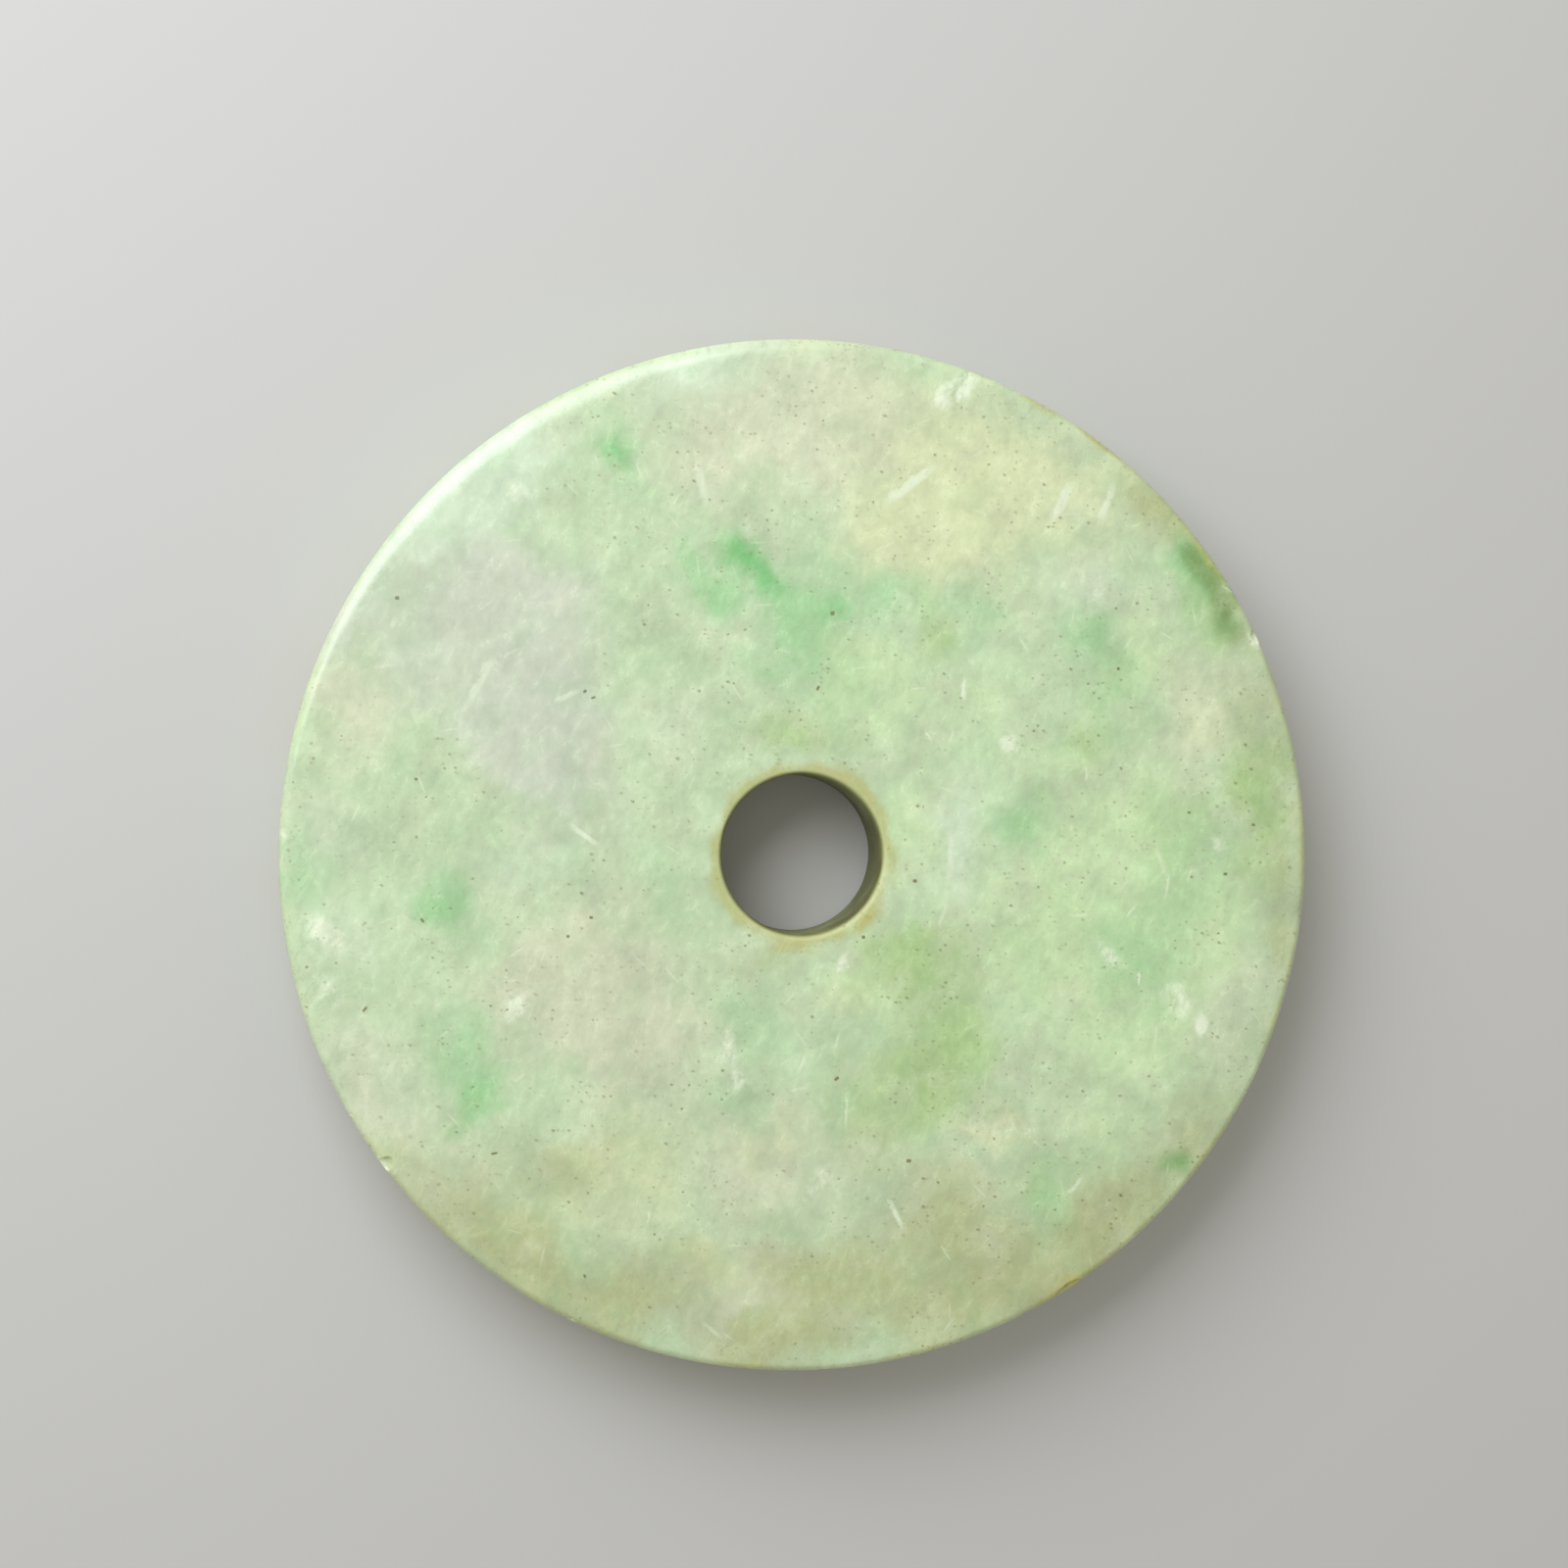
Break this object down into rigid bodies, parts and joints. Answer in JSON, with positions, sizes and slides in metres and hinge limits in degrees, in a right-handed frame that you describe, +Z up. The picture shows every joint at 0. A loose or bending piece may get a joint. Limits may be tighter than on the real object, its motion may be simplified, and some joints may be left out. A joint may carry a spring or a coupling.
{
  "type": "jade bi disc",
  "caption": "Flat round disc of polished pale green jade with a round hole through its middle, to lie flat or hang from a cord.",
  "frame": {"origin": "middle of the disc's underside, on the bore's axis", "axes": "+Z up through the bore, out of the upper face; +X to the right and +Y away from the viewer as the picture shows the disc from above"},
  "size_m": [0.05, 0.05, 0.005],
  "materials": {
    "jade": "polished"
  },
  "bodies": {
    "root": {"jade_disc": "jade"}
  },
  "joints": []
}
